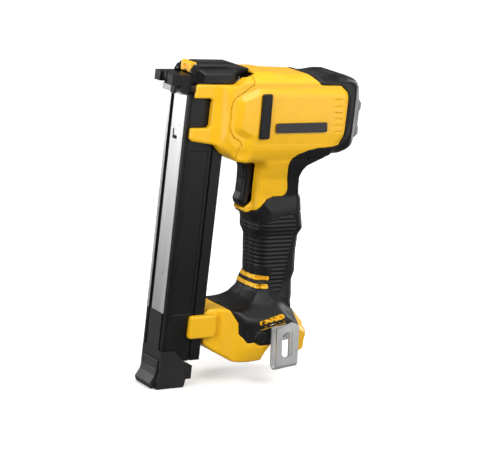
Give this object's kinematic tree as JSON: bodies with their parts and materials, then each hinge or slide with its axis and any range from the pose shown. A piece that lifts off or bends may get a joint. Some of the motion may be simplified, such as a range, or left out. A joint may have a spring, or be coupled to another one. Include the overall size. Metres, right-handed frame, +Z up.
{
  "type": "cordless cable stapler",
  "caption": "Pistol-grip cordless stapler for cables, with a hanging staple magazine, contact trip, flywheel driver, battery foot and belt hook; no battery fitted.",
  "frame": {"origin": "centre of the nose's contact plane, on the line of the driver", "axes": "-X is the way the staples leave, +Z is up with the handle and magazine hanging down, +Y is the tool's right side"},
  "size_m": [0.231, 0.0888, 0.332],
  "materials": {
    "yellow_shell": "moulded, satin",
    "black_shell": "fine moulded texture",
    "soft_grip": "soft overmould, ribbed",
    "yellow_clip": "moulded, satin",
    "black_steel": "black oxide",
    "bright_steel": "brushed along its length",
    "spring_steel": "drawn wire",
    "pin_steel": "ground",
    "cast_frame": "die cast",
    "wheel_steel": "turned",
    "winding": "enamelled wire",
    "coil_wrap": "taped coil",
    "bumper_rubber": "moulded",
    "switch_plastic": "moulded",
    "board": "solder mask",
    "leads": "insulated wire",
    "contact_brass": "plated",
    "insert_brass": "knurled",
    "badge_grey": "plain plate, no text",
    "lamp_grey": "clear coat over grey"
  },
  "bodies": {
    "tool": {"housing_left": "yellow_shell", "housing_right": "yellow_shell", "grip_left": "soft_grip", "grip_right": "soft_grip", "rear_cap": "black_shell", "rear_lamps": "lamp_grey", "top_cover": "black_shell", "cover_screws": "pin_steel", "latch_hinge_pin": "pin_steel", "nose_plate": "bright_steel", "nose_frame": "cast_frame", "trip_spring": "spring_steel", "magazine_body": "black_shell", "staple_strip": "bright_steel", "guide_rods": "pin_steel", "return_springs": "spring_steel", "driver_bumpers": "bumper_rubber", "motor_stator": "winding", "motor_bearings": "pin_steel", "pinch_pin": "pin_steel", "solenoid": "coil_wrap", "trigger_pin": "pin_steel", "trigger_spring": "spring_steel", "trigger_switch": "switch_plastic", "control_board": "board", "wire_loom": "leads", "terminal_block": "black_shell", "battery_contacts": "contact_brass", "belt_hook": "bright_steel", "hook_screw": "pin_steel", "hook_inserts": "insert_brass", "housing_screws": "pin_steel", "bumper_left": "bumper_rubber", "bumper_right": "bumper_rubber", "badge_left": "badge_grey", "badge_right": "badge_grey"},
    "trip": {"contact_trip": "black_steel"},
    "nose_latch": {"nose_latch": "yellow_clip"},
    "drawer": {"magazine_rail": "bright_steel", "magazine_base": "black_shell", "magazine_latch_pin": "pin_steel", "magazine_latch_spring": "spring_steel"},
    "magazine_latch": {"magazine_latch": "black_shell"},
    "pusher": {"pusher": "black_steel", "pusher_spring": "spring_steel"},
    "driver": {"driver_blade": "bright_steel", "driver_carriage": "wheel_steel"},
    "flywheel": {"flywheel": "wheel_steel", "motor_axle": "pin_steel"},
    "pinch_arm": {"pinch_arm": "black_steel", "pinch_roller": "pin_steel"},
    "plunger": {"solenoid_plunger": "pin_steel"},
    "trigger": {"trigger": "black_shell"}
  },
  "joints": [
    {"name": "trip_slide", "type": "slide", "parent": "tool", "child": "trip", "axis": [1, 0, 0], "range_m": [0, 0.006], "stiffness_N_per_m": 1500, "springref_m": -0.008, "deforming": ["trip_spring"]},
    {"name": "nose_latch_hinge", "type": "hinge", "parent": "tool", "child": "nose_latch", "pos_m": [0.0285, 0, 0.0202], "axis": [0, 1, 0], "range_deg": [0, 70]},
    {"name": "drawer_slide", "type": "slide", "parent": "tool", "child": "drawer", "axis": [0, 0, -1], "range_m": [0, 0.14]},
    {"name": "magazine_latch_press", "type": "hinge", "parent": "drawer", "child": "magazine_latch", "pos_m": [0.024, 0, -0.284], "axis": [0, -1, 0], "range_deg": [0, 8], "stiffness_Nm_per_rad": 1, "springref_deg": -11.46, "deforming": ["magazine_latch_spring"]},
    {"name": "pusher_slide", "type": "slide", "parent": "drawer", "child": "pusher", "axis": [0, 0, -1], "range_m": [0, 0.09], "stiffness_N_per_m": 60, "springref_m": -0.15},
    {"name": "driver_slide", "type": "slide", "parent": "tool", "child": "driver", "axis": [-1, 0, 0], "range_m": [0, 0.048], "stiffness_N_per_m": 200, "springref_m": -0.04, "deforming": ["return_springs"]},
    {"name": "flywheel_spin", "type": "hinge", "parent": "tool", "child": "flywheel", "pos_m": [0.14, 0, -0.031], "axis": [0, 1, 0], "continuous": true},
    {"name": "pinch_press", "type": "hinge", "parent": "tool", "child": "pinch_arm", "pos_m": [0.178, 0, 0.0055], "axis": [0, -1, 0], "range_deg": [0, 1.3], "stiffness_Nm_per_rad": 8, "springref_deg": -2.86},
    {"name": "plunger_slide", "type": "slide", "parent": "tool", "child": "plunger", "axis": [1, 0, 0], "range_m": [0, 0.0006]},
    {"name": "trigger_pull", "type": "hinge", "parent": "tool", "child": "trigger", "pos_m": [0.1075, 0, -0.0675], "axis": [0, -1, 0], "range_deg": [0, 6], "stiffness_Nm_per_rad": 1, "springref_deg": -17.19, "deforming": ["trigger_spring"]}
  ],
  "couplings": [
    {"joint": "plunger_slide", "follows": "pinch_press", "m_per_rad": 0.0195}
  ]
}
